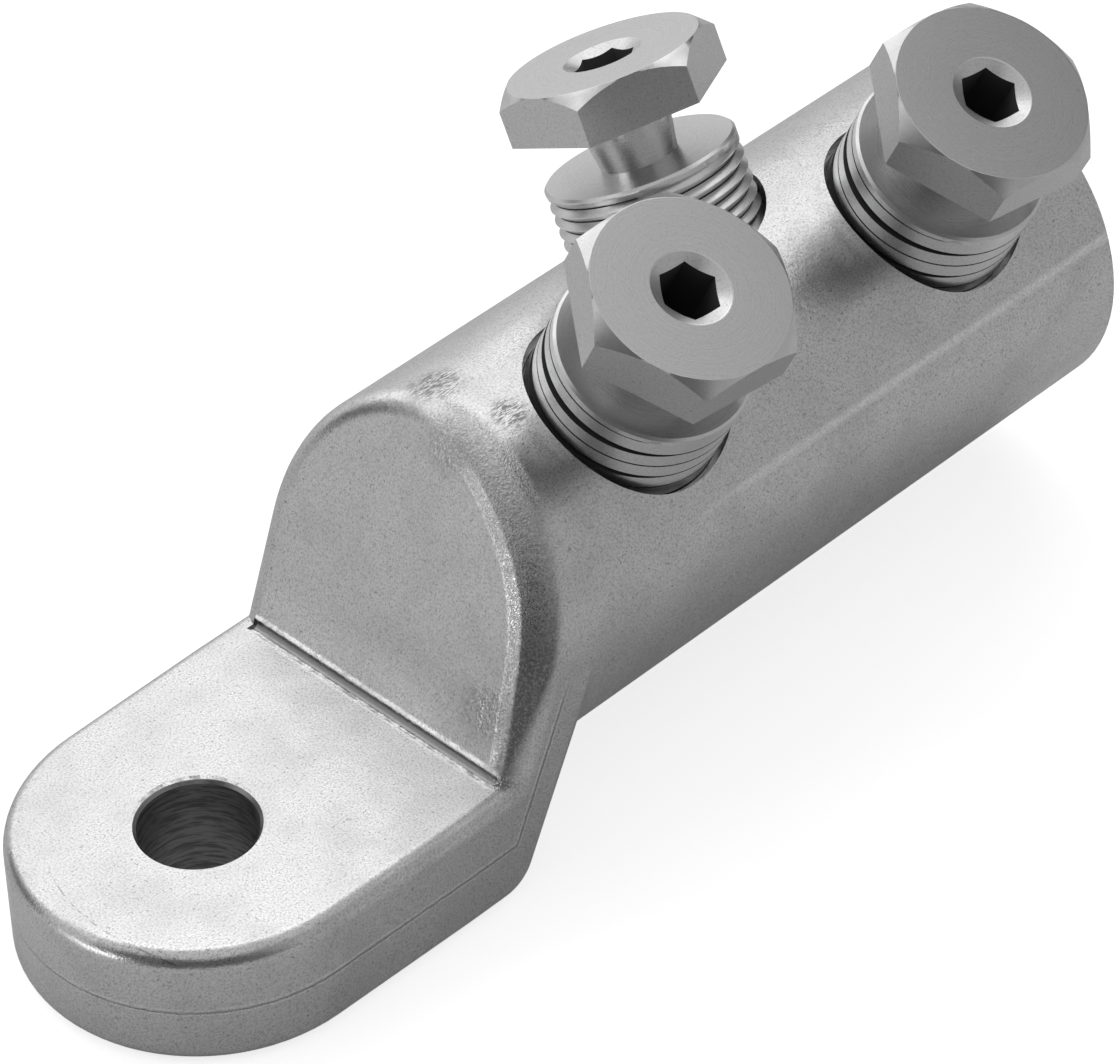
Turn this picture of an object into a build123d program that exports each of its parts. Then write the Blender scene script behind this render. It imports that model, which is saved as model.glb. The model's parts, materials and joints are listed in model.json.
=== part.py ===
from build123d import *
from math import cos, radians, sin, tan
import os

os.makedirs("parts", exist_ok=True)

# Millimetres. The origin is the stud hole's axis at the palm's underside, +X runs along the barrel
# towards the cable, +Z is up, and the bolts lean to -Y and to +Y in turn.

# Palm, the flat end that is bolted to a busbar
palm_thickness = 15.0
palm_end_r = 20.65
palm_end_centre_x = 0.35
palm_flare_x = 19.0
palm_edge_round = 2.0
palm_lap = 0.2
stud_hole_d = 13.0
stud_hole_chamfer = 0.65

# Shoulder, the step that leans back from the palm up to the barrel
crease_x = 25.2
face_slope = 69.5
face_round = 3.2
underside_x = 27.4
underside_slope = 64.2
bend_round = 5.0
throat_round = 4.0
groove_r = 0.7
groove_lift = 0.35
groove_lip_round = 0.35
groove_length = 37.0

# Barrel, the tube that takes the conductor
barrel_d = 42.0
barrel_underside_z = 5.15
barrel_end_x = 122.6
mouth_chamfer = 0.8
bore_d = 26.0
bore_end_x = 43.0
bore_point_angle = 118.0
bore_chamfer = 1.0

# Clamping bolts, whose heads shear off at the neck when they are tight
bolt_names = ["clamp_bolt_front", "clamp_bolt_middle", "clamp_bolt_rear"]
bolt_xs = [56.2, 79.7, 103.2]
bolt_sides = [-1, 1, -1]
bolt_tops = [40.5, 40.2, 40.0]
bolt_turns = [55.8, 32.0, 53.3]
bolt_tilt = 26.0
thread_d = 22.0
thread_length = 14.6
rim_chamfer = 0.4
tip_chamfer = 1.0
neck_length = 6.25
neck_top_d = 10.5
neck_root_d = 8.8
head_across_flats = 22.0
head_height = 5.9
head_chamfer_angle = 42.0
socket_across_flats = 6.1
socket_depth = 16.0
socket_mouth_d = 8.9
socket_mouth_angle = 120.0
socket_point_angle = 118.0

# Room round each bolt in its hole
thread_clearance = 0.1
counterbore_clearance = 0.65
counterbore_depth = 4.5

# Worked out from the sizes above
barrel_r = barrel_d / 2
bore_r = bore_d / 2
thread_r = thread_d / 2
head_flat_r = head_across_flats / 2
socket_flat_r = socket_across_flats / 2
barrel_axis_z = barrel_underside_z + barrel_r
barrel_top_z = barrel_axis_z + barrel_r
lug_length = barrel_end_x - palm_end_centre_x + palm_end_r
legs_end_x = barrel_end_x - 2 * mouth_chamfer


def face_x(height):
    """Where the shoulder's leaning face is at a height above the palm's underside."""
    return crease_x + (height - palm_thickness) / tan(radians(face_slope))


def underside_at(height):
    """Where the slope under the shoulder is at a height above the palm's underside."""
    return underside_x + height / tan(radians(underside_slope))


def side_block(points, half_width):
    """Outline seen from the side, drawn out evenly to both sides of the middle plane."""
    return extrude(Plane.XZ * Polygon(*points, align=None), amount=half_width, both=True)


def palm():
    """Flat plate with a full round end and rounded edges, its back end inside the shoulder."""
    tail_length = face_x(barrel_top_z) - palm_flare_x
    tail = Pos(palm_flare_x + tail_length / 2, 0) * Rectangle(tail_length, barrel_d)
    end = Pos(palm_end_centre_x, 0) * Circle(palm_end_r)
    plate = extrude(make_hull(end.edges() + tail.edges()), amount=palm_thickness)
    lap = face_round / sin(radians(face_slope)) + palm_lap
    back = [
        (face_x(0) + lap, 0),
        (face_x(lug_length) + lap, lug_length),
        (lug_length, lug_length),
        (lug_length, 0),
    ]
    plate -= side_block(back, barrel_d)
    rims = plate.faces().sort_by(Axis.Z)[0].edges() + plate.faces().sort_by(Axis.Z)[-1].edges()
    rims = rims.filter_by(lambda edge: abs(edge.center().Y) > 1 or edge.center().X < 0)
    return fillet(rims, palm_edge_round)


def barrel_blank():
    """Solid round bar up to the barrel's mouth, where its edge is chamfered."""
    bar = extrude(Plane.YZ * Pos(0, barrel_axis_z) * Circle(barrel_r), amount=barrel_end_x)
    return chamfer(bar.faces().sort_by(Axis.X)[-1].edges(), mouth_chamfer)


def rear_form():
    """Barrel on straight legs that slope up behind, with all of its lower edges rounded."""
    side = [
        (0, 0),
        (underside_x, 0),
        (underside_at(barrel_axis_z), barrel_axis_z),
        (0, barrel_axis_z),
    ]
    legs = side_block(side, barrel_r)
    bend = legs.edges().filter_by(Axis.Y).sort_by(Axis.Z)[:2].sort_by(Axis.X)[-1]
    legs = fillet(bend, bend_round)
    rims = legs.faces().sort_by(Axis.Y)[0].edges() + legs.faces().sort_by(Axis.Y)[-1].edges()
    rims = rims.filter_by(lambda edge: edge.center().X > 1 and edge.center().Z < barrel_axis_z - 0.1)
    form = barrel_blank() + fillet(rims, palm_edge_round)
    throat = form.edges().filter_by(
        lambda edge: edge.geom_type in (GeomType.ELLIPSE, GeomType.BSPLINE)
        and underside_x < edge.center().X < underside_at(barrel_top_z)
    )
    return fillet(throat, throat_round)


def front_form():
    """Barrel on straight legs, cut back to the leaning face, whose arched rim is rounded."""
    side = [(0, 0), (legs_end_x, 0), (legs_end_x, barrel_axis_z), (0, barrel_axis_z)]
    legs = side_block(side, barrel_r)
    ahead = [
        (-lug_length, 0),
        (face_x(0), 0),
        (face_x(lug_length), lug_length),
        (-lug_length, lug_length),
    ]
    form = barrel_blank() + legs - side_block(ahead, barrel_d)
    face = form.faces().sort_by(Axis.X).filter_by(lambda each: each.normal_at().X < -0.5)[0]
    rim = face.edges().filter_by(lambda edge: edge.center().Z > palm_thickness / 2)
    return fillet(rim, face_round)


def crease_groove():
    """Narrow relief along the foot of the leaning face, both of its lips rounded over."""
    turn = radians((180 - face_slope) / 2)
    reach = 4 * groove_r
    centre = (crease_x - groove_lift * cos(turn), palm_thickness + groove_lift * sin(turn))
    corner = Polygon(
        (crease_x - reach, palm_thickness),
        (crease_x, palm_thickness),
        (face_x(palm_thickness + reach), palm_thickness + reach),
        (crease_x + reach, palm_thickness - reach),
        (crease_x - reach, palm_thickness - reach),
        align=None,
    )
    grooved = corner - Pos(*centre) * Circle(groove_r)
    lips = grooved.vertices().sort_by_distance(centre)[:2]
    removed = corner - fillet(lips, groove_lip_round)
    return extrude(Plane.XZ * removed, amount=groove_length / 2, both=True)


def stud_hole():
    """Hole for the stud through the palm, chamfered at the top."""
    radius = stud_hole_d / 2
    hole = Pos(0, 0, palm_thickness / 2) * Cylinder(radius, palm_thickness)
    mouth = Cone(radius, radius + stud_hole_chamfer, stud_hole_chamfer)
    return hole + Pos(0, 0, palm_thickness - stud_hole_chamfer / 2) * mouth


def conductor_bore():
    """Blind bore for the bared conductor, drilled from the barrel's mouth."""
    point_x = bore_end_x - bore_r / tan(radians(bore_point_angle / 2))
    outline = Polyline(
        (point_x, 0),
        (bore_end_x, bore_r),
        (barrel_end_x - bore_chamfer, bore_r),
        (barrel_end_x, bore_r + bore_chamfer),
        (barrel_end_x, 0),
        close=True,
    )
    bore = revolve(make_face(Plane.XZ * outline), Axis.X)
    return Pos(0, 0, barrel_axis_z) * bore


def bolt_plane(index):
    """Plane through the barrel's axis, its normal out along the bolt."""
    lean = radians(bolt_tilt) * bolt_sides[index]
    centre = (bolt_xs[index], 0, barrel_axis_z)
    return Plane(origin=centre, x_dir=(1, 0, 0), z_dir=(0, sin(lean), cos(lean)))


def bolt_hole(index):
    """Hole for a bolt through one side of the barrel, wider for the first few turns."""
    radius = thread_r + thread_clearance
    mouth_r = thread_r + counterbore_clearance
    mouth_z = barrel_r - counterbore_depth
    hole = Pos(0, 0, barrel_r / 2) * Cylinder(radius, barrel_r)
    hole += Pos(0, 0, mouth_z + barrel_r / 2) * Cylinder(mouth_r, barrel_r)
    return bolt_plane(index) * hole


def lug_body():
    """One casting: palm, shoulder and barrel, with its machined bores."""
    body = palm() + (rear_form() & front_form())
    body -= crease_groove()
    body -= stud_hole()
    body -= conductor_bore()
    for index in range(len(bolt_names)):
        body -= bolt_hole(index)
    return body


def socket(top):
    """Hexagonal key socket down the middle of a bolt, with a countersunk mouth."""
    hexagon = RegularPolygon(socket_flat_r, 6, major_radius=False)
    hole = extrude(Pos(0, 0, top) * hexagon, amount=-socket_depth)
    point = socket_flat_r / tan(radians(socket_point_angle / 2))
    hole += Pos(0, 0, top - socket_depth - point / 2) * Cone(0, socket_flat_r, point)
    mouth = socket_mouth_d / 2 / tan(radians(socket_mouth_angle / 2))
    hole += Pos(0, 0, top - mouth / 2) * Cone(0, socket_mouth_d / 2, mouth)
    return hole


def turned_blank(top):
    """Turned form of a bolt: threaded shank, tapered shear neck and a round blank for the head."""
    head_r = head_flat_r / cos(radians(30))
    head_under = top - head_height
    shank_top = head_under - neck_length
    tip = shank_top - thread_length
    chamfer_drop = (head_r - head_flat_r) * tan(radians(head_chamfer_angle))
    outline = Polyline(
        (0, tip),
        (thread_r - tip_chamfer, tip),
        (thread_r, tip + tip_chamfer),
        (thread_r, shank_top - rim_chamfer),
        (thread_r - rim_chamfer, shank_top),
        (neck_root_d / 2, shank_top),
        (neck_top_d / 2, head_under),
        (head_r, head_under),
        (head_r, top - chamfer_drop),
        (head_flat_r, top),
        (0, top),
        close=True,
    )
    return revolve(make_face(Plane.XZ * outline), Axis.Z)


def clamp_bolt(index):
    """One turned bolt, in its place in the barrel."""
    top = bolt_tops[index]
    hexagon = RegularPolygon(head_flat_r, 6, major_radius=False)
    head_space = extrude(Pos(0, 0, top - head_height) * hexagon, amount=head_height)
    shank_space = Pos(0, 0, (top - head_height) / 2) * Cylinder(thread_d, top - head_height)
    bolt = (turned_blank(top) & (head_space + shank_space)) - socket(top)
    return bolt_plane(index) * Rot(0, 0, bolt_turns[index]) * bolt


export_step(lug_body(), "parts/lug_body.step")
for number, name in enumerate(bolt_names):
    export_step(clamp_bolt(number), f"parts/{name}.step")
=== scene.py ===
import json
from math import atan2, cos, floor, hypot, pi, radians, sin, tan

import bmesh
import bpy
from mathutils import Matrix, Vector


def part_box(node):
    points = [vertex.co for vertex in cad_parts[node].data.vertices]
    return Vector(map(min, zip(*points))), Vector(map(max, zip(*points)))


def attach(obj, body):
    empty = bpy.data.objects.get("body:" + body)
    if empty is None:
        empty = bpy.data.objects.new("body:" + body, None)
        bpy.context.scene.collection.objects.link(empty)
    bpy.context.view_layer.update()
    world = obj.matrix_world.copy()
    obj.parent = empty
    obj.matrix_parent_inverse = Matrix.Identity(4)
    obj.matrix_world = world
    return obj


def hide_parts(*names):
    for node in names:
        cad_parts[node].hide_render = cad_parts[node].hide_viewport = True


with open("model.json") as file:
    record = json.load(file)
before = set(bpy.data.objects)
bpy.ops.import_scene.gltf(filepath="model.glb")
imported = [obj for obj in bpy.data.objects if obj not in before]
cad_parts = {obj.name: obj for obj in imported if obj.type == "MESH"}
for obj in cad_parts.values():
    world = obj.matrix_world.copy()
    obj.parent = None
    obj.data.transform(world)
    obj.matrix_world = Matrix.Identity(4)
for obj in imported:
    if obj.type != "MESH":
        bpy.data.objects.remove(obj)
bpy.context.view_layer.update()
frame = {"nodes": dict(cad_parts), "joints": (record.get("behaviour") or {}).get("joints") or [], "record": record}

# Lug casting
# Palm, shoulder and barrel are one piece of aluminium, cast in a two-part mould and tin-plated all over.
# The stud hole, the barrel's mouth and bore, and the three bolt holes are machined after casting.
SHARP_ANGLE = radians(32)
MERGE_DISTANCE = 1e-7
BARREL_AXIS_Z = next(m["pos_m"][2] for m in frame["record"]["mounts"] if m["name"] == "conductor_bore")
BOLT_HOLE_R = 0.0118
STUD_HOLE_R = 0.0066
STUD_HOLE_WALL_SLOPE = 0.3
CONDUCTOR_BORE_R = 0.0131
BORE_POINT_X = 0.0351

# The tin, and the walls of the bores: machined metal, painted darker for the shade inside the holes
TIN_COLOUR = (0.73, 0.73, 0.73, 1)
TIN_FLECK_COLOUR = (0.34, 0.34, 0.34, 1)
# Pale colour of the parting line's ribbon, also used for the painted glint along the rim's line
TIN_SEAM_AND_GLINT_COLOUR = (0.95, 0.95, 0.95, 1)
TIN_RELIEF = 0.00003
GRIT_HEIGHT = 0.8
CRINKLE_HEIGHT = 3.5
BORED_SHADED_COLOUR = (0.50, 0.50, 0.50, 1)
BORED_STREAK_COLOUR = (0.24, 0.24, 0.24, 1)
BORED_STREAK_SCALE = (0.12, 0.12, 1)
BORED_RELIEF = 0.00002

# The mould's parting line; its ridges are (place and half width in mm, height). Here and below, a pair
# of lengths is a soft edge: where a mask starts to change and where it has changed.
SKIN_R = (0.0181, 0.0185)
PARTING_Z_PALM = 0.0075
PARTING_Z_BARREL = 0.0337
PARTING_RISE_X = (0.0257, 0.0345)
PARTING_RISE_Z = 0.0188
PARTING_DRIFT_X = (0.0345, 0.058)
PARTING_SLANT = 0.42
PARTING_BLEND = 0.0005
PARTING_FADE_X = (0.0320, 0.0350)
PARTING_RIDGES = [(0.15, 0.35, 2.2), (-0.25, 0.22, -1.3), (-1.15, 0.25, -0.5)]
RIBBON_FROM_X = (0.050, 0.070)
RIBBON_HALF_WIDTH = 0.8

# Marks of handling
SPOT_CORE = 0.35
RUBBED_COLOUR = (0.10, 0.10, 0.10, 1)
RUBBED_SPOTS = [
    ((0.0410, 0.0048, 0.0466), 0.0042),
    ((0.0427, -0.0044, 0.0466), 0.0030),
    ((0.0256, -0.0192, 0.0153), 0.0013),
]
STROKE_TURN = radians(62)
STROKE_SCALE = (0.16, 1, 0.5)
PITTED_SPOTS = [
    ((0.0363, -0.0020, 0.0448), 0.0045),
    ((0.0262, -0.0190, 0.0150), 0.0030),
    ((0.0277, -0.0150, 0.0215), 0.0045),
]
WASHER_MARK_CENTRE = (0.0040, -0.0035, 0.0150)
WASHER_MARK_R = 0.0215
WASHER_MARK_HALF_WIDTH = 0.00013
WASHER_MARK_X = (-0.0145, -0.0155)

# The relief groove at the leaning face's foot and the stud hole's edge, with painted shade in the groove's bottom
# and on the hole's inner edge; a lip is two soft edges
FACE_SLOPE = radians(69.5)
FACE_FOOT = (0.0252, 0.0150)
GROOVE_CENTRE = (0.0250, 0.0153)
GROOVE_HALF_LENGTH = (0.0184, 0.0186)
GROOVE_REACH = (0.0012, 0.0016)
GROOVE_LOW_LIP = ((-0.00115, -0.00070), (-0.00046, -0.00030))
GROOVE_HIGH_LIP = ((0.00058, 0.00070), (0.00105, 0.00145))
GROOVE_BOTTOM = ((-0.00050, -0.00034), (0.00060, 0.00072))
GROOVE_WANDER = 0.00035
# Painted shade colour for the groove's bottom and the stud hole's inner edge
GROOVE_SHADE_COLOUR = (0.32, 0.32, 0.32, 1)
LIP_NORMAL = (-0.22, 0, 0.975)
STUD_LIP = ((0.00680, 0.00688), (0.0072, 0.0073))
PALM_TOP_Z = (0.0140, 0.0143)

# The leaning face's rim, a bright line and then a dark flank on the side of negative Y, and the slight
# hollow that blends the face into its foot. The bright line is tilted shading with a painted glint on it;
# the dark flank is a painted dark reflection.
RIM_LINE_R = (0.0155, 0.0162)
RIM_LINE_TILT = 0.30
RIM_EDGE_R = (0.0173, 0.0179)
RIM_EDGE_TILT = 0.40
RIM_BACK_R = (0.0178, 0.0184)
RIM_BACK_DEPTH = (0.0008, 0.0020)
RIM_BACK_TILT = 0.9
RIM_DEPTH = (0.0022, 0.0032)
RIM_FLANK_DEPTH = (0.0015, 0.0024)
RIM_START_Z = (0.0158, 0.0163)
RIM_SIDE_Y = (-0.0010, 0.0050)
RIM_FOOT_Z = (0.0160, 0.0300)
RIM_FOOT_SHIFT = 0.0013
RIM_TOP_Y = (-0.0130, 0.0020)
RIM_TOP_SHIFT = 0.0022
RIM_WANDER = 0.0007
# Painted dark reflection on the rim's flank
RIM_SHADE_COLOUR = (0.17, 0.17, 0.17, 1)
RIM_SHADE_Z = (0.028, 0.042)
FACE_BLEND_TILT = 0.16
FACE_BLEND_Z = (0.0162, 0.0225)
FACE_BLEND_DEPTH = (0.0006, 0.0012)
FACE_BLEND_Y = (-0.0160, -0.0040)


def new_group(name, inputs, outputs):
    """An empty node group with float inputs (name, value) and named outputs (name, kind)."""
    group = bpy.data.node_groups.new(name, "ShaderNodeTree")
    for label, value in inputs:
        socket = group.interface.new_socket(label, in_out="INPUT", socket_type="NodeSocketFloat")
        socket.default_value = value
    for label, kind in outputs:
        group.interface.new_socket(label, in_out="OUTPUT", socket_type=kind)
    return group, group.nodes.new("NodeGroupInput"), group.nodes.new("NodeGroupOutput")


def put_out(group, out, results):
    """Links a group's results to its named outputs."""
    for label, result in results.items():
        group.links.new(result, out.inputs[label])


def add_group(tree, group, **values):
    """Places a node group in a material with its own values; gives its outputs."""
    node = tree.nodes.new("ShaderNodeGroup")
    node.node_tree = group
    for label, value in values.items():
        node.inputs[label].default_value = value
    return node.outputs


def own_place(tree):
    """Where a point is in the piece's own coordinates."""
    return tree.nodes.new("ShaderNodeTexCoord").outputs["Object"]


def split_place(tree, place):
    """A place's three parts: along the barrel, across it and up."""
    split = tree.nodes.new("ShaderNodeSeparateXYZ")
    tree.links.new(place, split.inputs[0])
    return split.outputs


def math_node(tree, operation, first, second=None, third=None):
    """A Math node on sockets or plain numbers; gives its output socket."""
    node = tree.nodes.new("ShaderNodeMath")
    node.operation = operation
    for place, value in enumerate((first, second, third)):
        if value is None:
            continue
        if isinstance(value, (int, float)):
            node.inputs[place].default_value = value
        else:
            tree.links.new(value, node.inputs[place])
    return node.outputs[0]


def vector_node(tree, operation, first, second=None):
    """A Vector Math node on sockets or plain triples; gives its outputs."""
    node = tree.nodes.new("ShaderNodeVectorMath")
    node.operation = operation
    tree.links.new(first, node.inputs[0])
    if isinstance(second, tuple):
        node.inputs[1].default_value = second
    elif second is not None:
        tree.links.new(second, node.inputs[1])
    return node.outputs


def noise_node(tree, vector, scale, detail, roughness=0.5):
    """A 3-D noise pattern; gives the socket of its height."""
    node = tree.nodes.new("ShaderNodeTexNoise")
    node.inputs["Scale"].default_value = scale
    node.inputs["Detail"].default_value = detail
    node.inputs["Roughness"].default_value = roughness
    tree.links.new(vector, node.inputs["Vector"])
    return node.outputs[0]


def range_node(tree, value, low, high, to_low, to_high, course="SMOOTHSTEP"):
    """A clamped Map Range node; gives its output socket."""
    node = tree.nodes.new("ShaderNodeMapRange")
    node.interpolation_type = course
    for place, number in zip(("From Min", "From Max", "To Min", "To Max"), (low, high, to_low, to_high)):
        node.inputs[place].default_value = number
    tree.links.new(value, node.inputs["Value"])
    return node.outputs[0]


def product(tree, first, *others):
    """Two or more masks multiplied."""
    for other in others:
        first = math_node(tree, "MULTIPLY", first, other)
    return first


def band(tree, value, begin, end):
    """1 between two soft edges, 0 outside them."""
    return product(tree, range_node(tree, value, *begin, 0, 1), range_node(tree, value, *end, 1, 0))


def line_mask(tree, distance, centre, half_width):
    """1 on a line at a distance, fading to 0 at its half width."""
    off = math_node(tree, "ABSOLUTE", math_node(tree, "SUBTRACT", distance, centre))
    return range_node(tree, off, 0, half_width, 1, 0)


def long_side(tree, first, second):
    """The long side of a right triangle with two given sides."""
    squared = math_node(tree, "MULTIPLY", second, second)
    return math_node(tree, "SQRT", math_node(tree, "MULTIPLY_ADD", first, first, squared))


def past_point(tree, along, up, angle, point):
    """How far a place is past a point (along, up) of the middle plane, in the direction of an angle."""
    offset = point[0] * cos(angle) + point[1] * sin(angle)
    past = math_node(tree, "MULTIPLY_ADD", up, sin(angle), -offset)
    return math_node(tree, "MULTIPLY_ADD", along, cos(angle), past)


def mix_colours(tree, factor, first, second):
    """A colour mix by a mask; first and second are colours or colour sockets."""
    node = tree.nodes.new("ShaderNodeMix")
    node.data_type = "RGBA"
    tree.links.new(factor, node.inputs["Factor"])
    for place, colour in ((6, first), (7, second)):
        if isinstance(colour, tuple):
            node.inputs[place].default_value = colour
        else:
            tree.links.new(colour, node.inputs[place])
    return node.outputs[2]


def metal(name, roughness):
    """A bare metal material and its Principled BSDF."""
    material = bpy.data.materials.new(name)
    material.use_nodes = True
    shader = material.node_tree.nodes["Principled BSDF"]
    shader.inputs["Metallic"].default_value = 1
    shader.inputs["Roughness"].default_value = roughness
    return material, material.node_tree, shader


def bump(tree, shader, height, distance):
    """Feeds a height, times a distance in metres, to a shader's Normal; gives the Bump node."""
    node = tree.nodes.new("ShaderNodeBump")
    node.inputs["Strength"].default_value = 1
    node.inputs["Distance"].default_value = distance
    tree.links.new(height, node.inputs["Height"])
    tree.links.new(node.outputs[0], shader.inputs["Normal"])
    return node


def cast_skin_group():
    """Orange peel, fine grain and dark flecks of a plated casting."""
    group, given, out = new_group(
        "cast_skin",
        [("Peel", 1.0), ("Grain", 1.0), ("Flecks", 1.0)],
        [
            ("Height", "NodeSocketFloat"),
            ("Fleck mask", "NodeSocketFloat"),
            ("Mottle", "NodeSocketFloat"),
            ("Crinkle", "NodeSocketFloat"),
        ],
    )
    place = own_place(group)
    peel = product(group, noise_node(group, place, 850, 2), given.outputs["Peel"])
    sand = noise_node(group, place, 4200, 2, 0.6)
    grain = product(group, sand, given.outputs["Grain"])
    speck = range_node(group, noise_node(group, place, 2100, 4, 0.7), 0.60, 0.72, 0, 1)
    fleck = math_node(group, "MULTIPLY_ADD", range_node(group, sand, 0.38, 0.72, 0, 1), 0.75, speck)
    results = {
        "Height": math_node(group, "MULTIPLY_ADD", grain, 0.75, peel),
        "Fleck mask": product(group, fleck, given.outputs["Flecks"]),
        "Mottle": noise_node(group, place, 160, 3),
        "Crinkle": noise_node(group, place, 1500, 2, 0.7),
    }
    put_out(group, out, results)
    return group


def parting_line_group():
    """Where the mould's two halves met: distance from the line in mm, and masks of where it shows."""
    group, given, out = new_group(
        "parting_line",
        [("Wander", 0.10)],
        [
            ("Distance", "NodeSocketFloat"),
            ("Skin", "NodeSocketFloat"),
            ("Sharp", "NodeSocketFloat"),
            ("On barrel", "NodeSocketFloat"),
        ],
    )
    place = own_place(group)
    along, across, up = split_place(group, place)
    foot, head = PARTING_RISE_X
    rise = range_node(group, along, foot, head, 0, PARTING_RISE_Z, course="LINEAR")
    drift = range_node(group, along, *PARTING_DRIFT_X, PARTING_Z_PALM, PARTING_Z_BARREL - PARTING_RISE_Z)
    line = math_node(group, "ADD", rise, drift)
    steep = range_node(group, along, foot - PARTING_BLEND, foot + PARTING_BLEND, 1, PARTING_SLANT)
    level = range_node(group, along, head - PARTING_BLEND, head + PARTING_BLEND, 0, 1 - PARTING_SLANT)
    slope = math_node(group, "ADD", steep, level)
    off = product(group, math_node(group, "SUBTRACT", up, line), slope)
    wander = math_node(group, "SUBTRACT", noise_node(group, place, 900, 3, 0.6), 0.5)
    wander = product(group, wander, given.outputs["Wander"])
    ahead = math_node(group, "MINIMUM", along, 0)
    skin = range_node(group, long_side(group, ahead, across), *SKIN_R, 0, 1)
    results = {
        "Distance": math_node(group, "MULTIPLY_ADD", off, 1000, wander),
        "Skin": skin,
        "Sharp": product(group, skin, range_node(group, along, *PARTING_FADE_X, 1, 0)),
        "On barrel": range_node(group, along, *RIBBON_FROM_X, 0, 1),
    }
    put_out(group, out, results)
    return group


def spot_masks(tree, place, spots):
    """1 inside any of a few round spots (centre, radius), fading to 0 at their rims."""
    total = 0
    for centre, radius in spots:
        apart = vector_node(tree, "DISTANCE", place, centre)["Value"]
        spot = range_node(tree, apart, radius * SPOT_CORE, radius, 1, 0)
        total = math_node(tree, "MAXIMUM", spot, total)
    return total


def handling_marks_group():
    """Rubbed spots with short dark strokes, pitted spots, and the fine arc left by a washer's rim."""
    group, given, out = new_group(
        "handling_marks",
        [("Strength", 1.0)],
        [("Rubbed", "NodeSocketFloat"), ("Pitted", "NodeSocketFloat")],
    )
    place = own_place(group)
    drawn = group.nodes.new("ShaderNodeMapping")
    drawn.inputs["Rotation"].default_value = (0, 0, STROKE_TURN)
    drawn.inputs["Scale"].default_value = STROKE_SCALE
    group.links.new(place, drawn.inputs["Vector"])
    strokes = range_node(group, noise_node(group, drawn.outputs[0], 6500, 2, 0.6), 0.45, 0.54, 0, 1)
    rubbed = product(group, strokes, spot_masks(group, place, RUBBED_SPOTS))
    from_centre = vector_node(group, "DISTANCE", place, WASHER_MARK_CENTRE)["Value"]
    arc = line_mask(group, from_centre, WASHER_MARK_R, WASHER_MARK_HALF_WIDTH)
    on_palm = range_node(group, split_place(group, place)["X"], *WASHER_MARK_X, 0, 1)
    broken = range_node(group, noise_node(group, place, 900, 2), 0.42, 0.55, 0.1, 0.75)
    rubbed = math_node(group, "MULTIPLY_ADD", product(group, arc, on_palm), broken, rubbed)
    results = {
        "Rubbed": product(group, rubbed, given.outputs["Strength"]),
        "Pitted": spot_masks(group, place, PITTED_SPOTS),
    }
    put_out(group, out, results)
    return group


def crease_masks(tree, along, across, up, uneven):
    """Masks of the bright lips of the relief groove and the stud hole, and of the painted shade in their insides.
    """
    bend = (pi - FACE_SLOPE) / 2
    over = past_point(tree, along, up, pi / 2 - bend, GROOVE_CENTRE)
    over = math_node(tree, "MULTIPLY_ADD", uneven, GROOVE_WANDER, over)
    out_of = past_point(tree, along, up, pi - bend, GROOVE_CENTRE)
    near = range_node(tree, math_node(tree, "ABSOLUTE", out_of), *GROOVE_REACH, 1, 0)
    inside = range_node(tree, math_node(tree, "ABSOLUTE", across), *GROOVE_HALF_LENGTH, 1, 0)
    near = product(tree, near, inside)
    low = product(tree, band(tree, over, *GROOVE_LOW_LIP), near)
    high = product(tree, band(tree, over, *GROOVE_HIGH_LIP), near)
    groove = product(tree, band(tree, over, *GROOVE_BOTTOM), near)
    from_stud = long_side(tree, across, along)
    at_top = range_node(tree, up, *PALM_TOP_Z, 0, 1)
    hole_lip = product(tree, band(tree, from_stud, *STUD_LIP), at_top)
    hole_edge = product(tree, range_node(tree, from_stud, *STUD_LIP[0], 1, 0), at_top)
    lips = math_node(tree, "MAXIMUM", math_node(tree, "ADD", low, high), hole_lip)
    return lips, math_node(tree, "MAXIMUM", groove, hole_edge)


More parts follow.
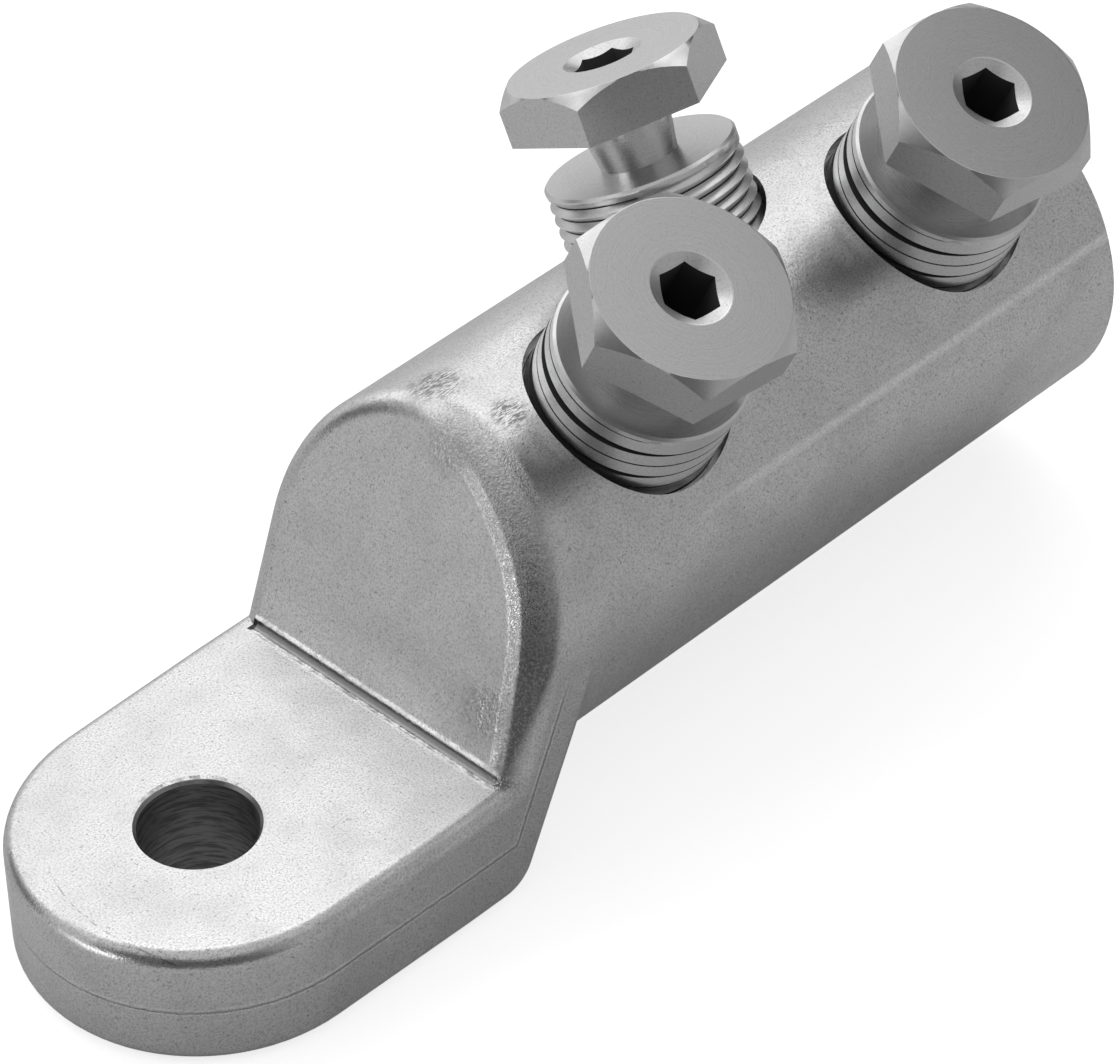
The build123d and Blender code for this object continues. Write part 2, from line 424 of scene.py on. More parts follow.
def rim_masks(tree, along, across, up, uneven):
    """Outward tilt of the rim's shading, and masks of its painted dark flank, its gritty part and its painted
    glint line.
    """
    above = math_node(tree, "MAXIMUM", math_node(tree, "SUBTRACT", up, BARREL_AXIS_Z), 0)
    span = long_side(tree, across, above)
    behind = past_point(tree, along, up, FACE_SLOPE - pi / 2, FACE_FOOT)
    at_back = range_node(tree, behind, *RIM_BACK_DEPTH, 0, RIM_BACK_TILT)
    at_back = product(tree, at_back, range_node(tree, span, *RIM_BACK_R, 0, 1))
    over_palm = range_node(tree, up, *RIM_START_Z, 0, 1)
    blend = product(
        tree,
        range_node(tree, up, *FACE_BLEND_Z, FACE_BLEND_TILT, 0),
        range_node(tree, behind, *FACE_BLEND_DEPTH, 1, 0),
        over_palm,
        range_node(tree, across, *FACE_BLEND_Y, 0, 1),
    )
    at_foot = range_node(tree, up, *RIM_FOOT_Z, 1, 0)
    behind = math_node(tree, "MULTIPLY_ADD", at_foot, RIM_FOOT_SHIFT, behind)
    on_rim = product(
        tree,
        range_node(tree, behind, *RIM_DEPTH, 1, 0),
        over_palm,
        range_node(tree, across, *RIM_SIDE_Y, 1, 0),
    )
    ragged = math_node(tree, "MULTIPLY_ADD", uneven, RIM_WANDER, span)
    ragged = math_node(tree, "MULTIPLY_ADD", at_foot, -RIM_FOOT_SHIFT, ragged)
    ragged = math_node(tree, "SUBTRACT", ragged, range_node(tree, across, *RIM_TOP_Y, 0, RIM_TOP_SHIFT))
    lean = range_node(tree, ragged, *RIM_LINE_R, 0, RIM_LINE_TILT)
    lean = math_node(tree, "ADD", lean, range_node(tree, ragged, *RIM_EDGE_R, 0, RIM_EDGE_TILT))
    lean = product(tree, math_node(tree, "ADD", lean, at_back), on_rim)
    tilt = tree.nodes.new("ShaderNodeCombineXYZ")
    tree.links.new(product(tree, math_node(tree, "DIVIDE", across, span), lean), tilt.inputs["Y"])
    upward = math_node(tree, "DIVIDE", above, span)
    tree.links.new(math_node(tree, "MULTIPLY_ADD", upward, lean, blend), tilt.inputs["Z"])
    gritty = product(tree, range_node(tree, ragged, *RIM_LINE_R, 0, 1), on_rim)
    past_line = product(tree, range_node(tree, ragged, *RIM_EDGE_R, 0, 1), on_rim)
    flank = product(tree, past_line, range_node(tree, behind, *RIM_FLANK_DEPTH, 1, 0))
    return tilt.outputs[0], flank, gritty, math_node(tree, "SUBTRACT", gritty, past_line)


def shoulder_group():
    """The relief groove's raised lips and the painted shade in its bottom, and the rounding of the leaning face's
    rim with its painted dark flank and painted glint.
    """
    group, _, out = new_group(
        "shoulder",
        [],
        [
            ("Normal", "NodeSocketVector"),
            ("Groove shade", "NodeSocketFloat"),
            ("Rim", "NodeSocketFloat"),
            ("Grainy", "NodeSocketFloat"),
            ("Line", "NodeSocketFloat"),
        ],
    )
    place = own_place(group)
    along, across, up = split_place(group, place)
    uneven = math_node(group, "SUBTRACT", noise_node(group, place, 1400, 3, 0.7), 0.5)
    lips, groove = crease_masks(group, along, across, up, uneven)
    tilt, flank, gritty, line = rim_masks(group, along, across, up, uneven)
    surface = group.nodes.new("ShaderNodeNewGeometry").outputs["Normal"]
    tilted = vector_node(group, "ADD", surface, tilt)["Vector"]
    patchy = range_node(group, noise_node(group, place, 900, 4, 0.7), 0.35, 0.65, 0.6, 0.95)
    lipped = group.nodes.new("ShaderNodeMix")
    lipped.data_type = "VECTOR"
    group.links.new(product(group, lips, patchy), lipped.inputs["Factor"])
    group.links.new(tilted, lipped.inputs[4])
    lipped.inputs[5].default_value = LIP_NORMAL
    results = {
        "Normal": vector_node(group, "NORMALIZE", lipped.outputs[1])["Vector"],
        "Groove shade": groove,
        "Rim": flank,
        "Grainy": gritty,
        "Line": line,
    }
    put_out(group, out, results)
    return group


def tin_plate():
    """Bright, slightly mottled tin over the cast skin, with the parting line and the marks of handling, painted
    shade in the relief groove, and a painted dark reflection and a painted glint on the rim.
    """
    material, tree, shader = metal("tin_plate", 0.30)
    skin = add_group(tree, cast_skin, Peel=1.0, Grain=1.0, Flecks=0.8)
    line = add_group(tree, parting_line, Wander=0.25)
    marks = add_group(tree, handling_marks, Strength=0.8)
    edge = add_group(tree, shoulder)
    place = own_place(tree)
    grit = range_node(tree, noise_node(tree, place, 3400, 3, 0.7), 0.38, 0.62, 0, 1)
    ribbon = line_mask(tree, line["Distance"], 0, RIBBON_HALF_WIDTH)
    ribbon = product(tree, ribbon, line["On barrel"], line["Skin"])
    # Painted dark reflection on the rim's flank, fading upwards
    near_foot = range_node(tree, split_place(tree, place)["Z"], *RIM_SHADE_Z, 1, 0.3)
    rim_shade = product(tree, edge["Rim"], near_foot, range_node(tree, grit, 0, 1, 1, 0.7))
    layers = [
        (skin["Fleck mask"], TIN_FLECK_COLOUR),
        (range_node(tree, skin["Mottle"], 0.42, 0.68, 0, 0.16), TIN_FLECK_COLOUR),
        (product(tree, ribbon, range_node(tree, grit, 0, 1, 0.35, 1)), TIN_SEAM_AND_GLINT_COLOUR),
        (marks["Rubbed"], RUBBED_COLOUR),
        # Painted shade in the groove's bottom and at the stud hole's inner edge
        (edge["Groove shade"], GROOVE_SHADE_COLOUR),
        # Painted glint along the rim's bright line
        (product(tree, edge["Line"], range_node(tree, grit, 0.4, 0.9, 0, 0.55)), TIN_SEAM_AND_GLINT_COLOUR),
        (rim_shade, RIM_SHADE_COLOUR),
        (product(tree, marks["Pitted"], product(tree, grit, 0.75)), TIN_FLECK_COLOUR),
    ]
    colour = TIN_COLOUR
    for mask, layer_colour in layers:
        colour = mix_colours(tree, mask, colour, layer_colour)
    tree.links.new(colour, shader.inputs["Base Color"])
    tree.links.new(range_node(tree, skin["Mottle"], 0.3, 0.7, 0.26, 0.32), shader.inputs["Roughness"])
    height = skin["Height"]
    for centre, half_width, rise in PARTING_RIDGES:
        ridge = product(tree, line_mask(tree, line["Distance"], centre, half_width), line["Sharp"])
        height = math_node(tree, "MULTIPLY_ADD", ridge, rise, height)
    gritty = product(tree, grit, math_node(tree, "MAXIMUM", ribbon, edge["Grainy"]))
    height = math_node(tree, "MULTIPLY_ADD", gritty, GRIT_HEIGHT, height)
    crinkled = math_node(tree, "MAXIMUM", ribbon, marks["Pitted"])
    crinkled = math_node(tree, "MAXIMUM", crinkled, edge["Rim"])
    crinkle = product(tree, skin["Crinkle"], crinkled)
    height = math_node(tree, "MULTIPLY_ADD", crinkle, CRINKLE_HEIGHT, height)
    relief = bump(tree, shader, height, TIN_RELIEF)
    tree.links.new(edge["Normal"], relief.inputs["Normal"])
    return material


def bored_metal_shaded():
    """The walls of the machined holes, painted darker for the shade inside them and streaked round by the drill.
    """
    material, tree, shader = metal("bored_metal_shaded", 0.42)
    drawn = tree.nodes.new("ShaderNodeMapping")
    drawn.inputs["Scale"].default_value = BORED_STREAK_SCALE
    tree.links.new(own_place(tree), drawn.inputs["Vector"])
    streaks = noise_node(tree, drawn.outputs[0], 2600, 4, 0.65)
    streak_mask = range_node(tree, streaks, 0.42, 0.62, 0, 1)
    colour = mix_colours(tree, streak_mask, BORED_SHADED_COLOUR, BORED_STREAK_COLOUR)
    tree.links.new(colour, shader.inputs["Base Color"])
    bump(tree, shader, streaks, BORED_RELIEF)
    return material


def shade_smooth(skin):
    """Smooths a mesh's shading up to its sharp edges."""
    for face in skin.faces:
        face.smooth = True
    for edge in skin.edges:
        edge.smooth = edge.is_manifold and edge.calc_face_angle(0) < SHARP_ANGLE


def merged_copy(node, name):
    """A node's mesh as a new piece: one skin, smooth up to its sharp edges."""
    piece = bpy.data.objects.new(name, frame["nodes"][node].data.copy())
    bpy.context.scene.collection.objects.link(piece)
    skin = bmesh.new()
    skin.from_mesh(piece.data)
    bmesh.ops.remove_doubles(skin, verts=skin.verts, dist=MERGE_DISTANCE)
    shade_smooth(skin)
    skin.to_mesh(piece.data)
    skin.free()
    if "custom_normal" in piece.data.attributes:
        piece.data.attributes.remove(piece.data.attributes["custom_normal"])
    return piece


def in_a_bore(face, bolt_lines):
    """Whether a face of the casting is the wall of a machined hole."""
    centre = face.center
    if hypot(centre.x, centre.y) < STUD_HOLE_R and abs(face.normal.z) < STUD_HOLE_WALL_SLOPE:
        return True
    if centre.x > BORE_POINT_X and hypot(centre.y, centre.z - BARREL_AXIS_Z) < CONDUCTOR_BORE_R:
        return True
    for foot, axis in bolt_lines:
        reach = (centre - foot).dot(axis)
        if (centre - foot - axis * reach).length < BOLT_HOLE_R and reach > 0:
            return True
    return False


def keep_flats_flat(piece):
    """Weights a piece's normals by face area, so that small rounded edges don't shade the flats."""
    weighted = piece.modifiers.new("flat_faces", "WEIGHTED_NORMAL")
    weighted.keep_sharp = True


cast_skin = cast_skin_group()
parting_line = parting_line_group()
handling_marks = handling_marks_group()
shoulder = shoulder_group()
casting = merged_copy("lug_body", "lug_casting")
casting.data.materials.clear()
casting.data.materials.append(tin_plate())
casting.data.materials.append(bored_metal_shaded())
bolt_lines = []
for joint in frame["joints"]:
    low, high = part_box("clamp_bolt_" + joint["child"].split("_")[0])
    foot = Vector(((low[0] + high[0]) / 2, 0, BARREL_AXIS_Z))
    bolt_lines.append((foot, -Vector(joint["axis"]).normalized()))
for face in casting.data.polygons:
    face.material_index = int(in_a_bore(face, bolt_lines))
keep_flats_flat(casting)
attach(casting, "lug")
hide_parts("lug_body")

# Clamping bolts
# Three turned aluminium shear bolts. Each has a hexagon head with a key socket, a tapered neck that
# snaps at the right torque, and a threaded shank with a flat top. They lean to the two sides in turn.
RING_STEPS = 120
SLACK = 1e-6
TURN_SLACK = 1e-4
HEAD_FLAT_R = 0.011
HEAD_HEIGHT = 0.0059
HEAD_CHAMFER = radians(42)
HEAD_WALL_SLOPE = 0.2
EDGE_BREAK = 0.0001
SOCKET_FLAT_R = 0.00305
SOCKET_MOUTH_R = 0.00445
SOCKET_DEPTH = 0.016
SOCKET_POINT = 0.0018
SOCKET_POINT_R = SOCKET_FLAT_R / 20
SOCKET_DARK_FROM = 0.0006
COUNTERSINK = radians(60)
COUNTERSINK_DEPTH = 0.001
NECK_TOP_R = 0.00525
NECK_ROOT_R = 0.0044
NECK_LENGTH = 0.00625
NECK_FILLET = 0.0008
NECK_FILLET_STEPS = 4
BOLT_TURNS = {"front": radians(55.8), "middle": radians(32.0), "rear": radians(53.3)}

# The shanks. Every second groove of the coarse thread swells wide and dark to the left of the shank's front, which
# is the side in the camera's view;
# the dark is painted shade in the thread's roots. The fine thread is even.
THREAD_R = 0.011
RIM_CHAMFER = 0.0003
RIM_BAND = 0.0009
TIP_CHAMFER = 0.0010
THREAD_RUNOUT = 0.0003
SPARE_TURNS = 2
FIRST_GROOVE = 0.00135
CREST_SKIN = 0.00002
ROOT_FLOOR = 1.1
COARSE_THREAD = {
    "pitch": 0.0022,
    "depth": 0.00095,
    "groove_share": 0.52,
    "narrow_turns": 0.2,
    "root_share": 0.2,
    "dark_from": 0.05,
}
FINE_THREAD = {
    "pitch": 0.0015,
    "depth": 0.00065,
    "groove_share": 0.92,
    "narrow_turns": 1.0,
    "root_share": 0.12,
    "dark_from": 0.85,
}
THREADS = {"front": COARSE_THREAD, "middle": FINE_THREAD, "rear": COARSE_THREAD}
SHANK_FRONT = Vector((-0.53, -0.54, 0.65))
WIDE_LEFT_OF_FRONT = radians(50)
WIDE_FROM = 0.68

# The bolts' finishes, in the order of their materials; the socket and the thread roots are painted shade and the
# crests a painted highlight
TURNED, FLATS, SOCKET, ROOT, CREST = range(5)
BOLT_COLOUR = (0.73, 0.73, 0.73, 1)
BOLT_RING_COLOUR = (0.58, 0.58, 0.58, 1)
FLAT_COLOUR = (0.70, 0.70, 0.70, 1)
FLAT_SPECK_COLOUR = (0.48, 0.48, 0.48, 1)
# Painted shade: the key socket and the thread roots are painted near black
SOCKET_SHADE_COLOUR = (0.09, 0.09, 0.09, 1)
ROOT_SHADE_COLOUR = (0.035, 0.035, 0.035, 1)
# Painted highlight: the thread crests are painted brighter than the turned metal
CREST_HIGHLIGHT_COLOUR = (0.93, 0.93, 0.93, 1)
TURNED_RELIEF = 0.0000006
FLAT_RELIEF = 0.000012
CREST_RELIEF = 0.000008


def hexagon_r(angle, flat_r):
    """Radius of a hexagon, corners at 0, 60 and so on, at an angle round its axis."""
    return flat_r / cos(angle % (pi / 3) - pi / 6)


def socket_r(angle):
    """Radius of the key socket's wall at an angle."""
    return hexagon_r(angle, SOCKET_FLAT_R)


def head_r(angle):
    """Radius of the head at an angle."""
    return hexagon_r(angle, HEAD_FLAT_R)


def chamfer_z(angle, top):
    """Height of the lower edge of the head's chamfer at an angle."""
    return top - (head_r(angle) - HEAD_FLAT_R + EDGE_BREAK) * tan(HEAD_CHAMFER)


def grow_ring(blank, rim, radius, height):
    """Extrudes an open rim to a radius and height, each a number or worked out from the angle."""
    grown = bmesh.ops.extrude_edge_only(blank, edges=rim)["geom"]
    verts = {piece for piece in grown if isinstance(piece, bmesh.types.BMVert)}
    for vert in verts:
        angle = atan2(vert.co.y, vert.co.x) % (2 * pi)
        ring_r = radius(angle) if callable(radius) else radius
        ring_z = height(angle) if callable(height) else height
        vert.co = (ring_r * cos(angle), ring_r * sin(angle), ring_z)
    edges = [piece for piece in grown if isinstance(piece, bmesh.types.BMEdge)]
    return [edge for edge in edges if verts.issuperset(edge.verts)]


def turned_head(blank, top):
    """Socket, hexagon head and tapered neck down to the shank's flat top; gives the rim it ends on."""
    socket_floor = top - SOCKET_DEPTH
    head_under = top - HEAD_HEIGHT
    shank_top = head_under - NECK_LENGTH
    point = bmesh.ops.create_circle(blank, cap_ends=True, segments=RING_STEPS, radius=SOCKET_POINT_R)
    bmesh.ops.translate(blank, verts=point["verts"], vec=(0, 0, socket_floor - SOCKET_POINT))
    rim = {edge for vert in point["verts"] for edge in vert.link_edges if edge.is_boundary}
    rim = sorted(rim, key=lambda edge: edge.index)
    rows = [
        (SOCKET_FLAT_R, socket_floor),
        (socket_r, socket_floor),
        (socket_r, lambda angle: top - (SOCKET_MOUTH_R - socket_r(angle)) / tan(COUNTERSINK)),
        (SOCKET_MOUTH_R - EDGE_BREAK, top - EDGE_BREAK / tan(COUNTERSINK)),
        (SOCKET_MOUTH_R, top - EDGE_BREAK / 5),
        (SOCKET_MOUTH_R + EDGE_BREAK, top),
        (HEAD_FLAT_R - EDGE_BREAK, top),
        (HEAD_FLAT_R, top - EDGE_BREAK / 4),
        (head_r, lambda angle: chamfer_z(angle, top)),
        (head_r, head_under),
        (NECK_TOP_R + NECK_FILLET, head_under),
    ]
    for step in range(1, NECK_FILLET_STEPS + 1):
        bend = pi / 2 * step / NECK_FILLET_STEPS
        rows.append((NECK_TOP_R + NECK_FILLET * (1 - sin(bend)), head_under - NECK_FILLET * (1 - cos(bend))))
    rows.append((NECK_ROOT_R, shank_top))
    rows.append((THREAD_R - RIM_CHAMFER, shank_top))
    rows.append((THREAD_R, shank_top - RIM_CHAMFER))
    rows.append((THREAD_R, shank_top - RIM_CHAMFER * 1.5))
    for radius, height in rows:
        rim = grow_ring(blank, rim, radius, height)
    return rim


def threaded_shank(blank, top, tip, thread, front):
    """Right-hand thread round the shank: one groove's profile spun upwards, then cut off at both ends."""
    pitch = thread["pitch"]
    narrow = thread["narrow_turns"]
    half = pitch * thread["groove_share"] / 2
    flat = half * thread["root_share"]
    turns = floor((top - tip) / pitch) + 2 * SPARE_TURNS
    first = top + RIM_BAND - FIRST_GROOVE
    start = first - half - (front / (2 * pi) + turns - SPARE_TURNS) * pitch
    profile = (0, half - flat, half + flat, half * 2, pitch)
    points = [blank.verts.new((THREAD_R, 0, start + up)) for up in profile]
    edges = [blank.edges.new(pair) for pair in zip(points, points[1:])]
    bmesh.ops.spin(
        blank,
        geom=points + edges,
        cent=(0, 0, 0),
        axis=(0, 0, 1),
        dvec=(0, 0, pitch / RING_STEPS),
        angle=2 * pi * turns,
        steps=RING_STEPS * turns,
    )
    bmesh.ops.remove_doubles(blank, verts=blank.verts, dist=MERGE_DISTANCE)
    for vert in blank.verts:
        angle = atan2(vert.co.y, vert.co.x) % (2 * pi)
        along = (vert.co.z - start) / pitch - angle / (2 * pi)
        turn = floor(along + TURN_SLACK)
        place = (along - turn) * pitch
        phase = turn - (turns - SPARE_TURNS) + (angle - front) / (2 * pi)
        wide = max(-cos(pi * phase) - WIDE_FROM, 0) / (1 - WIDE_FROM)
        size = narrow + (1 - narrow) * wide
        fade_out = min(max((top - vert.co.z) / THREAD_RUNOUT, 0), 1)
        fade_in = min(max((vert.co.z - tip) / THREAD_RUNOUT, 0), 1)
        in_groove = half * 0.5 < place < half * 1.5
        depth = thread["depth"] * size * (fade_out * fade_in) if in_groove else 0
        middle = start + (turn + angle / (2 * pi)) * pitch + half
        if place < half * 2 + SLACK:
            vert.co.z = middle + (vert.co.z - middle) * size
        vert.co.x = (THREAD_R - depth) * cos(angle)
        vert.co.y = (THREAD_R - depth) * sin(angle)
    for height, normal in ((top, (0, 0, 1)), (tip, (0, 0, -1))):
        bmesh.ops.bisect_plane(
            blank,
            geom=blank.verts[:] + blank.edges[:] + blank.faces[:],
            plane_co=(0, 0, height),
            plane_no=normal,
            clear_outer=True,
        )


def bolt_basis(joint, node):
    """Turns a bolt's own frame, its foot on the barrel's axis and +Z out along it, into the row frame."""
    outward = -Vector(joint["axis"]).normalized()
    low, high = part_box(node)
    foot = Vector(((low[0] + high[0]) / 2, 0, BARREL_AXIS_Z))
    across = outward.cross(Vector((1, 0, 0)))
    turn = Matrix((Vector((1, 0, 0)), across, outward)).transposed()
    return Matrix.Translation(foot) @ turn.to_4x4()


def bolt_finish(face, thread, top, thread_top, thread_tip):
    """Which of the bolt's finishes a face has, from where it lies; the socket and root finishes are painted shade,
    the crest's a painted highlight.
    """
    centre = face.calc_center_median()
    radius = hypot(centre.x, centre.y)
    dark_r = THREAD_R - thread["depth"] * thread["dark_from"]
    floor_r = THREAD_R - thread["depth"] * ROOT_FLOOR
    if dark_r > radius > floor_r and thread_tip < centre.z < thread_top:
        return ROOT
    if radius > THREAD_R - CREST_SKIN and thread_tip < centre.z < top - HEAD_HEIGHT - NECK_LENGTH:
        return CREST
    if EDGE_BREAK < SOCKET_MOUTH_R - radius < SOCKET_MOUTH_R * 0.3 and centre.z > top - COUNTERSINK_DEPTH:
        return FLATS
    if radius < SOCKET_MOUTH_R * 0.8 and centre.z < top - SOCKET_DARK_FROM:
        return SOCKET
    at_head = radius > HEAD_FLAT_R * 0.97 and centre.z > top - HEAD_HEIGHT
    if at_head and abs(face.normal.z) < HEAD_WALL_SLOPE:
        return FLATS
    return TURNED


def clamp_bolt(where, joint):
    """One bolt as the CAD node has it, with its thread, its broken edges and its turning marks' map."""
    node = f"clamp_bolt_{where}"
    thread = THREADS[where]
    basis = bolt_basis(joint, node)
    local = basis.inverted()
    heights = [(local @ vert.co).z for vert in frame["nodes"][node].data.vertices]
    top = max(heights)
    tip = min(heights)
    thread_top = top - HEAD_HEIGHT - NECK_LENGTH - RIM_BAND
    thread_tip = tip + TIP_CHAMFER
    shank = bmesh.new()
    front = local.to_3x3() @ SHANK_FRONT
    facing = atan2(front.y, front.x) - BOLT_TURNS[where]
    threaded_shank(shank, thread_top, thread_tip, thread, (facing - WIDE_LEFT_OF_FRONT) % (2 * pi))
    head_rim = turned_head(shank, top)
    open_edges = [edge for edge in shank.edges if edge.is_boundary]
    shank_rim = [edge for edge in open_edges if abs(edge.verts[0].co.z - thread_top) < SLACK]
    bmesh.ops.bridge_loops(shank, edges=head_rim + shank_rim)
    tip_rim = [edge for edge in shank.edges if edge.is_boundary]
    tip_rim = grow_ring(shank, tip_rim, THREAD_R - TIP_CHAMFER, tip)
    bmesh.ops.contextual_create(shank, geom=tip_rim)
    bmesh.ops.recalc_face_normals(shank, faces=shank.faces)
    lathe = shank.loops.layers.uv.new("turning")
    for face in shank.faces:
        face.material_index = bolt_finish(face, thread, top, thread_top, thread_tip)
        for loop in face.loops:
            loop[lathe].uv = (hypot(*loop.vert.co.xy) * 1000, loop.vert.co.z * 1000)
    shade_smooth(shank)
    bmesh.ops.transform(shank, matrix=basis @ Matrix.Rotation(BOLT_TURNS[where], 4, "Z"), verts=shank.verts)
    mesh = bpy.data.meshes.new(f"{where}_bolt_turned")
    shank.to_mesh(mesh)
    shank.free()
    piece = bpy.data.objects.new(f"{where}_bolt_turned", mesh)
    bpy.context.scene.collection.objects.link(piece)
    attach(piece, f"{where}_bolt")
    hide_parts(node)
    keep_flats_flat(piece)
    return piece


def turned_metal():
    """Turned aluminium: fine rings left by the tool, followed by the mesh's own map."""
    material, tree, shader = metal("turned_metal", 0.29)
    mapped = tree.nodes.new("ShaderNodeUVMap")
    mapped.uv_map = "turning"
    parts = split_place(tree, mapped.outputs[0])
    rings = tree.nodes.new("ShaderNodeTexNoise")
    rings.noise_dimensions = "1D"
    rings.inputs["Scale"].default_value = 8
    rings.inputs["Detail"].default_value = 3
    tree.links.new(math_node(tree, "ADD", parts["X"], parts["Y"]), rings.inputs["W"])
    skin = add_group(tree, cast_skin, Peel=0, Grain=1.0, Flecks=1.0)
    faint = range_node(tree, rings.outputs[0], 0.35, 0.75, 0, 0.5)
    uneven = math_node(tree, "MULTIPLY_ADD", skin["Fleck mask"], 0.5, faint)
    tree.links.new(mix_colours(tree, uneven, BOLT_COLOUR, BOLT_RING_COLOUR), shader.inputs["Base Color"])
    tree.links.new(range_node(tree, rings.outputs[0], 0.3, 0.7, 0.27, 0.31), shader.inputs["Roughness"])
    height = math_node(tree, "MULTIPLY_ADD", skin["Height"], 1.5, rings.outputs[0])
    bump(tree, shader, height, TURNED_RELIEF)
    return material


def drawn_metal(name, roughness, peel, colour, speck_colour, relief):
    """Aluminium with the fine grain and specks of drawn bar."""
    material, tree, shader = metal(name, roughness)
    skin = add_group(tree, cast_skin, Peel=peel, Grain=1.0, Flecks=0.7)
    tree.links.new(mix_colours(tree, skin["Fleck mask"], colour, speck_colour), shader.inputs["Base Color"])
    bump(tree, shader, skin["Height"], relief)
    return material


def painted_shade_black(name, roughness, gloss, colour):
    """A deep recess painted black as shade, so that it mirrors next to nothing."""
    material, _, shader = metal(name, roughness)
    shader.inputs["Metallic"].default_value = 0
    shader.inputs["Specular IOR Level"].default_value = gloss
    shader.inputs["Base Color"].default_value = colour
    return material


bolt_materials = [
    turned_metal(),
    drawn_metal("wrench_flats", 0.36, 0.2, FLAT_COLOUR, FLAT_SPECK_COLOUR, FLAT_RELIEF),
    # Painted shade in the key socket and the thread roots
    painted_shade_black("key_socket_shade", 0.6, 0.1, SOCKET_SHADE_COLOUR),
    painted_shade_black("thread_root_shade", 0.55, 0.15, ROOT_SHADE_COLOUR),
    # Painted highlight on the thread crests
    drawn_metal("thread_crest_highlight", 0.30, 0.1, CREST_HIGHLIGHT_COLOUR, FLAT_COLOUR, CREST_RELIEF),
]
for joint in frame["joints"]:
    bolt = clamp_bolt(joint["child"].split("_")[0], joint)
    for material in bolt_materials:
        bolt.data.materials.append(material)

# Studio
# A pale floor, soft panels overhead, behind and to both sides, and the camera at the photograph's angle.
# Nothing stands on the camera's side, so the rounded edges that face it stay dark.
FLOOR_SIZE = 6.0
FLOOR_COLOUR = (0.76, 0.76, 0.76, 1)
FLOOR_GLOW = 0.74
GLOW_IN_METAL = 0.06
WORLD_COLOUR = (1, 1, 1, 1)
WORLD_SEEN = 1
WORLD_LEVEL = 0.05
TARGET = Vector((0.0525, 0, 0.0189))
PANEL_DISTANCE = 0.9
# name, azimuth and elevation in degrees, width and height in metres, radiance
PANELS = [
    ("overhead", 0, 90, 1.35, 1.35, 0.50),
    ("behind", 60, 45, 1.35, 0.85, 1.04),
    ("behind_low", 75, 12, 0.95, 0.46, 0.66),
    ("left", 135, 38, 0.85, 0.46, 0.56),
    ("left_low", 150, 12, 0.46, 0.46, 0.50),
    ("left_edge", 171, 5, 0.34, 0.30, 2.30),
    ("right", 300, 25, 1.30, 0.88, 0.32),
]
CAMERA_AZIMUTH = radians(44.577)
CAMERA_ELEVATION = radians(40.572)
CAMERA_ROLL = radians(-1.563)
CAMERA_DISTANCE = 0.58394
CAMERA_LENS = 172.87
CAMERA_SENSOR_WIDTH = 36
CAMERA_CLIP_START = 0.01
PICTURE_WIDTH = 1120
OPTICAL_AXIS = (-9.335, 20.858)


def seen_strength(tree, seen, lighting):
    """A strength for the camera's rays and another for lighting; metal mirrors a named share of the first."""
    path = tree.nodes.new("ShaderNodeLightPath").outputs
    straight = math_node(tree, "MAXIMUM", path["Is Camera Ray"], path["Is Transmission Ray"])
    mirrored = math_node(tree, "MULTIPLY", path["Is Glossy Ray"], GLOW_IN_METAL)
    share = math_node(tree, "MAXIMUM", straight, mirrored)
    return math_node(tree, "MULTIPLY_ADD", share, seen - lighting, lighting)


def pale_floor():
    """Matt pale floor that looks white to the camera and keeps the soft shadow."""
    material = bpy.data.materials.new("pale_floor")
    material.use_nodes = True
    tree = material.node_tree
    tree.nodes.remove(tree.nodes["Principled BSDF"])
    matt = tree.nodes.new("ShaderNodeBsdfDiffuse")
    matt.inputs["Color"].default_value = FLOOR_COLOUR
    glow = tree.nodes.new("ShaderNodeEmission")
    tree.links.new(seen_strength(tree, FLOOR_GLOW, 0), glow.inputs["Strength"])
    both = tree.nodes.new("ShaderNodeAddShader")
    tree.links.new(matt.outputs[0], both.inputs[0])
    tree.links.new(glow.outputs[0], both.inputs[1])
    tree.links.new(both.outputs[0], tree.nodes["Material Output"].inputs["Surface"])
    return material


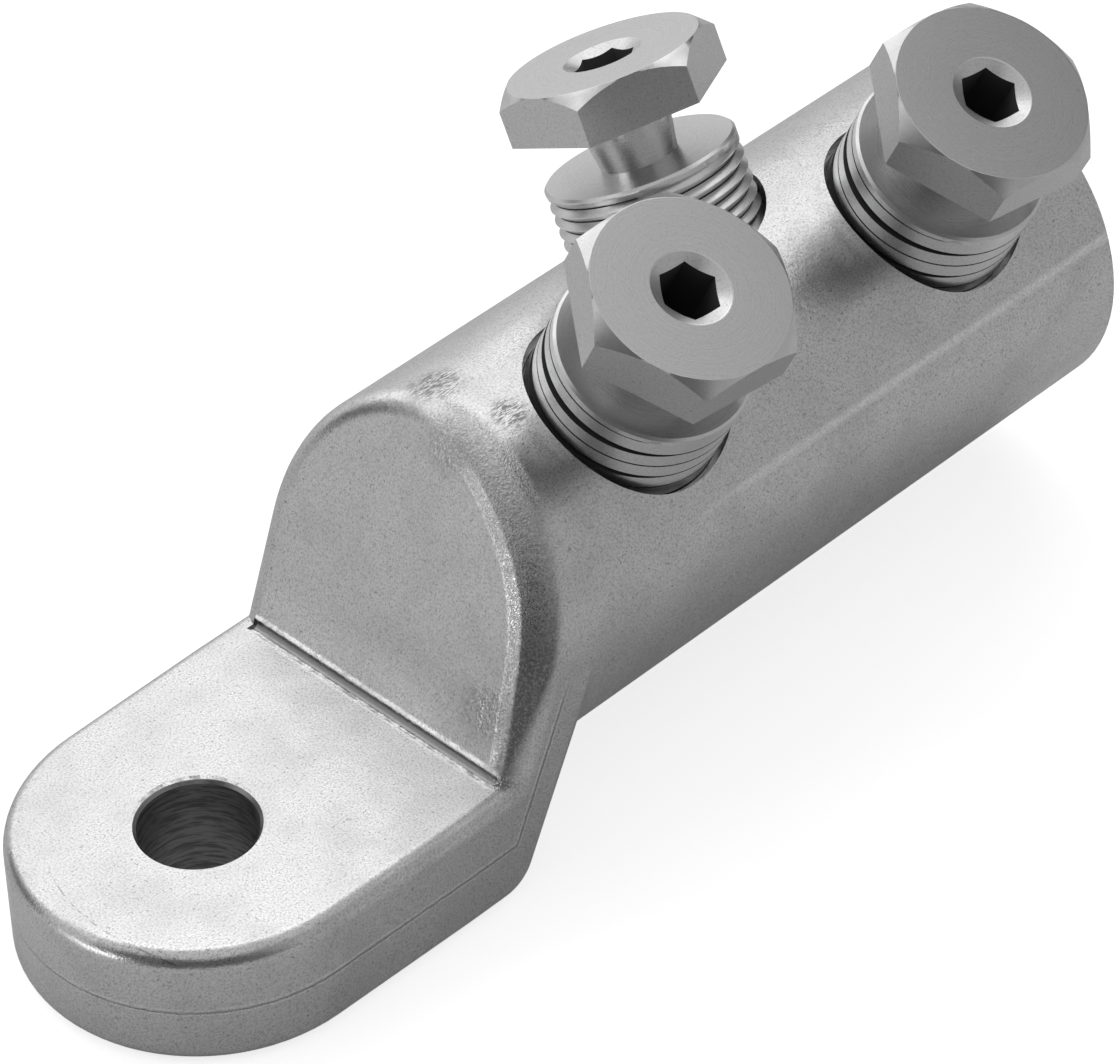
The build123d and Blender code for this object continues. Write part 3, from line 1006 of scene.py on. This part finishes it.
floor_mesh = bpy.data.meshes.new("studio_floor")
plane = bmesh.new()
bmesh.ops.create_grid(plane, x_segments=1, y_segments=1, size=FLOOR_SIZE / 2)
plane.to_mesh(floor_mesh)
plane.free()
studio_floor = bpy.data.objects.new("studio_floor", floor_mesh)
bpy.context.scene.collection.objects.link(studio_floor)
floor_mesh.materials.append(pale_floor())

world = bpy.data.worlds.new("studio")
world.use_nodes = True
sky = world.node_tree.nodes["Background"]
world.node_tree.links.new(seen_strength(world.node_tree, WORLD_SEEN, WORLD_LEVEL), sky.inputs["Strength"])
sky.inputs["Color"].default_value = WORLD_COLOUR
bpy.context.scene.world = world

for label, azimuth, elevation, width, height, radiance in PANELS:
    turn = Matrix.Rotation(radians(azimuth), 3, "Z") @ Matrix.Rotation(-radians(elevation), 3, "Y")
    towards = turn @ Vector((1, 0, 0))
    panel = bpy.data.lights.new(f"panel_{label}", "AREA")
    panel.shape = "RECTANGLE"
    panel.size = width
    panel.size_y = height
    panel.energy = radiance * pi * width * height
    lamp = bpy.data.objects.new(f"panel_{label}", panel)
    lamp.location = TARGET + towards * PANEL_DISTANCE
    lamp.rotation_euler = towards.to_track_quat("Z", "Y").to_euler()
    bpy.context.scene.collection.objects.link(lamp)

lens = bpy.data.cameras.new("camera")
lens.lens = CAMERA_LENS
lens.sensor_width = CAMERA_SENSOR_WIDTH
lens.sensor_fit = "HORIZONTAL"
lens.shift_x = -OPTICAL_AXIS[0] / PICTURE_WIDTH
lens.shift_y = OPTICAL_AXIS[1] / PICTURE_WIDTH
lens.clip_start = CAMERA_CLIP_START
camera = bpy.data.objects.new("camera", lens)
turn = Matrix.Rotation(-CAMERA_AZIMUTH, 4, "Z") @ Matrix.Rotation(pi / 2 - CAMERA_ELEVATION, 4, "X")
turn = turn @ Matrix.Rotation(CAMERA_ROLL, 4, "Z")
camera.matrix_world = Matrix.Translation(TARGET) @ turn @ Matrix.Translation((0, 0, CAMERA_DISTANCE))
bpy.context.scene.collection.objects.link(camera)
bpy.context.scene.camera = camera
bpy.context.scene.view_settings.view_transform = "Standard"
